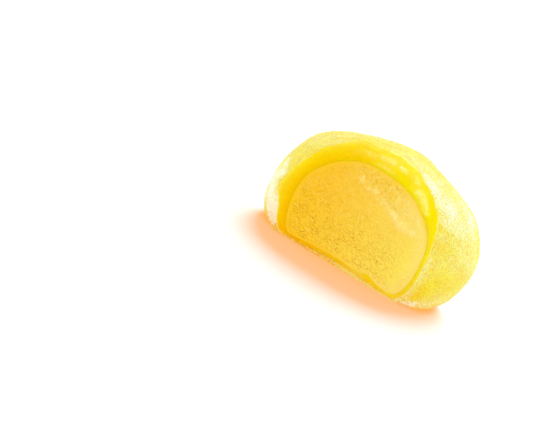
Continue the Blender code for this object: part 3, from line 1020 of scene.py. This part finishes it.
# Pores are deepest low down at the -X end, and pale glints lie among them: partly ice
# crystals, partly painted highlights of the pores' relief.
strength = smooth_step(noise(flat, STRONG_SIZE, seed=42), *STRONG_STEP)
strength = PORES_WEAK + PORES_STRONGER * strength
up_and_right = UPWARDS * z + RIGHTWARDS * (x - RIGHT_FROM)
where = 1 - FADED_SHARE * smooth_step(up_and_right, *FADES_UP_AND_RIGHT)
where = where * (1 - FADED_SHARE * smooth_step(x, *FADES_RIGHT))
where = where * strength * inside
bent = [axis + BEND * noise(flat, BEND_SIZE, seed) for axis, seed in ((x, 58), (z, 59))]
pores = np.maximum(*[dashes(*bent, *cells) for cells in PORE_CELLS])
glints = dashes(*bent, *GLINT_CELLS)
grit = noise(flat, GRIT_SIZE, seed=43) + FINE_GRIT * noise(flat, GRIT_SIZE / 2, seed=44)
swells = sum(height * noise(flat, size, seed) for size, height, seed in SWELLS)
above_ridge = smooth_step(z - (RIDGE_HEIGHT - RIDGE_FALL * x), *ROUGH_STARTS)
above_ridge *= smooth_step(x, *CRESCENT_START) * (1 - smooth_step(x, *ROUGH_ENDS))
curl = joined_strokes(flat, CURL, CURL_WIDTH)
ridge = joined_strokes(flat, RIDGE_LINE, RIDGE_LINE_WIDTH)
ridge = ridge * (RIDGE_EVEN + noise(flat, RIDGE_LUMP_SIZE, seed=47))
torn = bell(noise(flat, TORN_SIZE, seed=56), 0, TORN_HALF_WIDTH)
torn = torn * smooth_step(noise(flat, TORN_GAP_SIZE, seed=57), *TORN_GAP_STEP)
torn = torn * TORN_SHARE * above_ridge * inside * (1 - smooth_step(x, *TORN_ENDS))
pores = np.maximum(pores * where, torn)
relief = swells - pores * PORE_DEPTH + grit * GRIT_HEIGHT * (1 + above_ridge)
relief = relief + curl * CURL_HEIGHT + ridge * RIDGE_LINE_HEIGHT
relief = relief * inside + SEAM_RISE * (1 - smooth_step(from_edge, 0, SEAM_WIDTH))
face[..., 1] = bite_face(x, z) - relief

rings = np.concatenate([body, face])
centre = np.array([0, face[-1, :, 1].mean(), WAIST_HEIGHT])
far_pole = filling(np.array(0.0), np.array(np.pi))
ice_cream = ring_mesh("ice_cream_face", far_pole, rings, centre)
crease(ice_cream, BODY_ROWS, FACE_STEPS)

# Bright ice crystals: how thick they lie on the curl, above and along the ridge, among
# the pores, at the right margin and at the bottom, and where in X or Z that changes.
# Among the pores they are the glints, partly crystals and partly painted highlights.
FACE_MOTTLE = ((1.3, 48), (0.55, 49))
CURL_FROST = 0.12
ROUGH_FROST = 0.5
ROUGH_RIGHT_FROST = 0.20
ROUGH_RIGHT = (4, 9)
GLINT_FROST = 0.14
MARGIN_FROST = 0.32
MARGIN_X = (4, 13)
MARGIN_Z = (16, 21)
MARGIN_WIDTH = (0.8, 3.5)
BOTTOM_FROST = 0.05
BOTTOM_X = (-8, 8)
BOTTOM_Z = (1, 9)
RIDGE_FROST = 0.25
RIDGE_RIGHT_FROST = 0.45
RIDGE_RIGHT = (1, 8)
RIDGE_MOTTLE = 0.6

# Where in X the cream turns paler and in Z changes to the lower tone, and how far from
# the dough it takes the dough's tone, which is weaker at the lower right. The -X end is
# darker partly in its own tone and partly as painted shade; the paler lower tone is
# painted light that makes up for the table's shade on the lower face.
PALER_X = (-17, 20)
LOWER_Z = (0, 20)
NEAR_DOUGH = 0.7
WEAKER_SEAM = 0.7
WEAKER_X = (-8, 6)
WEAKER_Z = (12, 18)

mottled = sum(noise(flat, size, seed) for size, seed in FACE_MOTTLE)
bottom = smooth_step(x, *BOTTOM_X) * (1 - smooth_step(z, *BOTTOM_Z))
margin = smooth_step(x, *MARGIN_X) * (1 - smooth_step(from_edge, *MARGIN_WIDTH))
margin = margin * (1 - smooth_step(z, *MARGIN_Z))
ice_and_glints = CURL_FROST * curl * (1 + mottled) + ROUGH_FROST * above_ridge * np.maximum(mottled, 0)
ice_and_glints += GLINT_FROST * glints * where
ice_and_glints += MARGIN_FROST * margin + BOTTOM_FROST * bottom
ice_and_glints += ROUGH_RIGHT_FROST * above_ridge * smooth_step(x, *ROUGH_RIGHT)
on_ridge = RIDGE_FROST + RIDGE_RIGHT_FROST * smooth_step(x, *RIDGE_RIGHT) + RIDGE_MOTTLE * mottled
ice_and_glints = np.clip(ice_and_glints + np.clip(ridge, 0, 1) * on_ridge, 0, 1)
paler = smooth_step(x, *PALER_X)
lower = 1 - smooth_step(z, *LOWER_Z)
weaker = WEAKER_SEAM * smooth_step(x, *WEAKER_X) * (1 - smooth_step(z, *WEAKER_Z))
near_dough = bell(from_edge, 0, NEAR_DOUGH) * (1 - weaker)

# What the face's material reads, and its value at the middle of the face.
painted = (
    ("pores", pores, 0.0),
    ("porous", where, where[-1].mean()),
    ("frost", ice_and_glints, 0.0),
    ("paler", paler, paler[-1].mean()),
    ("lower", lower, lower[-1].mean()),
    ("near_dough", near_dough, 0.0),
)
unmarked = np.zeros(body.shape[:-1])
for name, values, in_the_middle in painted:
    paint(ice_cream, name, np.concatenate([unmarked, values]), 0.0, in_the_middle)
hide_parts("ice_cream")
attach(ice_cream, "root")

CREAM = (0.93, 0.512, 0.007, 1.0)
CREAM_LOW = (0.98, 0.69, 0.010, 1.0)
CREAM_PALER = (0.93, 0.71, 0.110, 1.0)
CREAM_PALER_LOW = (0.95, 0.92, 0.130, 1.0)
# The pore colour is painted shade.
CREAM_PORE_SHADE = (0.66, 0.36, 0.002, 1.0)
CREAM_FROST_AND_GLINT = (1.00, 0.82, 0.30, 1.0)
SEAM_COLOUR = (0.97, 0.60, 0.006, 1.0)
SEAM_SHARE = 0.7
PORE_SHADE_SHARE = 0.5
ICE_GRAIN = (0.7, 3.0, 0.65)
ICE_RAMP = (0.42, 0.66, 0.0, 0.14)
LINE_SIZE = (0.55, 0.15)
LINE_LEAN = 14
LINE_RAMP = (0.34, 0.50, 0.58, 0.0)
FACE_GRAIN = (0.3, 3.0, 0.7)
FACE_BUMP = (0.1, 0.3)

look, tree, shader = new_look("ice_cream")
# Painted light and shade: paler low down, and darker towards the -X end in part.
upper_colour = blend_colours(tree, attribute(tree, "paler"), CREAM, CREAM_PALER)
lower_colour = blend_colours(tree, attribute(tree, "paler"), CREAM_LOW, CREAM_PALER_LOW)
colour = blend_colours(tree, attribute(tree, "lower"), upper_colour, lower_colour)
speckle = ramp(tree, grain(tree, *ICE_GRAIN), *ICE_RAMP)
frost = reckon(tree, "ADD", attribute(tree, "frost"), speckle)
colour = blend_colours(tree, frost, colour, CREAM_FROST_AND_GLINT)
# Painted shade: the pores, and leaning lines across the porous part, are darkened.
lines = ramp(tree, leaning_grain(tree, LINE_SIZE, LINE_LEAN), *LINE_RAMP)
pore_shade = reckon(tree, "MULTIPLY", lines, attribute(tree, "porous"))
pore_shade = reckon(tree, "ADD", pore_shade, reckon(tree, "MULTIPLY", attribute(tree, "pores"), PORE_SHADE_SHARE))
colour = blend_colours(tree, pore_shade, colour, CREAM_PORE_SHADE)
seam = reckon(tree, "MULTIPLY", attribute(tree, "near_dough"), SEAM_SHARE)
tree.links.new(blend_colours(tree, seam, colour, SEAM_COLOUR), shader.inputs["Base Color"])
grainy = reckon(tree, "SUBTRACT", grain(tree, *FACE_GRAIN), pore_shade)
tree.links.new(bump(tree, grainy, *FACE_BUMP), shader.inputs["Normal"])
settings = {
    "Roughness": 0.55,
    "Specular IOR Level": 0.25,
    "Specular Tint": (1.0, 0.9, 0.3, 1.0),
}
set_inputs(shader, settings)
soft_inside(shader, weight=0.2, radius=(1.0, 0.7, 0.3), scale=0.8)
ice_cream.data.materials.append(look)


# ------------------------------------
# The table and the light: a table that glows warmly in a white tent, a broad soft lamp
# high behind the mochi, like a window, so that its shade falls forwards, and a weak
# card in front. A third lamp lights the table alone.

FLOOR_SIDE = 6.0
FLOOR_COLOUR = (0.14, 0.20, 0.26, 1.0)
FLOOR_GLOW = (1.0, 0.40, 0.04, 1.0)
FLOOR_GLOW_STRENGTH = 0.85

bpy.ops.mesh.primitive_plane_add(size=FLOOR_SIDE)
floor = bpy.context.object
floor.name = "floor"
look, tree, shader = new_look("floor")
settings = {
    "Base Color": FLOOR_COLOUR,
    "Emission Color": FLOOR_GLOW,
    "Emission Strength": FLOOR_GLOW_STRENGTH,
    "Roughness": 0.9,
    "Specular IOR Level": 0.1,
}
set_inputs(shader, settings)
floor.data.materials.append(look)

# Each lamp: name, where its light comes from, power, spread in degrees, colour.
TENT_COLOUR = (1.0, 1.0, 1.0, 1.0)
TENT_LIGHT = 1.02
LAMPS = (
    ("window", (0.15, 1.0, 0.72), 1.28, 40, (1.0, 1.0, 1.0)),
    ("card", (0.45, -1.0, 0.05), 0.22, 60, (1.0, 1.0, 1.0)),
    ("table_lamp", (-0.1, 1.0, 0.6), 19.0, 40, (0.1, 0.9, 1.0)),
)

world = bpy.data.worlds.new("tent")
world.use_nodes = True
world.node_tree.nodes["Background"].inputs["Color"].default_value = TENT_COLOUR
world.node_tree.nodes["Background"].inputs["Strength"].default_value = TENT_LIGHT
bpy.context.scene.world = world

for name, comes_from, power, spread, colour in LAMPS:
    lamp = bpy.data.lights.new(name, "SUN")
    lamp.energy = power
    lamp.angle = np.radians(spread)
    lamp.color = colour
    lamp_object = bpy.data.objects.new(name, lamp)
    lamp_object.rotation_euler = Vector(comes_from).to_track_quat("Z", "Y").to_euler()
    bpy.context.scene.collection.objects.link(lamp_object)

# The last lamp is blue-green and lights only the table. It whitens the table's warm
# glow, except where the mochi keeps that lamp off and the glow shows as a warm shade.
only_table = bpy.data.collections.new("lit_by_table_lamp")
only_table.objects.link(floor)
lamp_object.light_linking.receiver_collection = only_table

bpy.context.scene.view_settings.view_transform = "Standard"


# ------------------------------------
# The camera looks at the bite from a little above and is rolled to one side, which
# makes the mochi lean: the aim is the point that shows at AIM_PIXEL of the picture.

AZIMUTH = np.radians(11.56)
ELEVATION = np.radians(8.0)
ROLL = np.radians(29.19)
DISTANCE = 0.29576
AIM = np.array([-0.0001, -0.0031, 0.015])
AIM_PIXEL = (383.62, 202.18)
PICTURE = (550, 440)
LENS_MM = 85.0
SENSOR_MM = 36.0
CLIP_START = 0.01


def unit(way):
    """The way divided by its length."""
    return way / np.linalg.norm(way)


back = np.array(
    [np.sin(AZIMUTH) * np.cos(ELEVATION), -np.cos(AZIMUTH) * np.cos(ELEVATION), np.sin(ELEVATION)]
)
right = np.array([np.cos(AZIMUTH), np.sin(AZIMUTH), 0.0])
up = np.cross(back, right)
rolled_right = np.cos(ROLL) * right + np.sin(ROLL) * up
rolled_up = np.cos(ROLL) * up - np.sin(ROLL) * right
aimed = np.stack([rolled_right, rolled_up, back], axis=1)
pixels_per_unit = PICTURE[0] * LENS_MM / SENSOR_MM
off_middle = (np.array(AIM_PIXEL) - np.array(PICTURE) / 2) / pixels_per_unit
z_axis = -unit(np.array([off_middle[0], -off_middle[1], -1.0]))
x_axis = unit(np.cross([0.0, 1.0, 0.0], z_axis))
panned = np.stack([x_axis, np.cross(z_axis, x_axis), z_axis], axis=1)
turned = aimed @ panned.T

camera = bpy.data.cameras.new("camera")
camera.lens = LENS_MM
camera.sensor_width = SENSOR_MM
camera.clip_start = CLIP_START
camera_object = bpy.data.objects.new("camera", camera)
placed = Matrix(turned.tolist()).to_4x4()
placed.translation = Vector(AIM + DISTANCE * back)
camera_object.matrix_world = placed
bpy.context.scene.collection.objects.link(camera_object)
bpy.context.scene.camera = camera_object
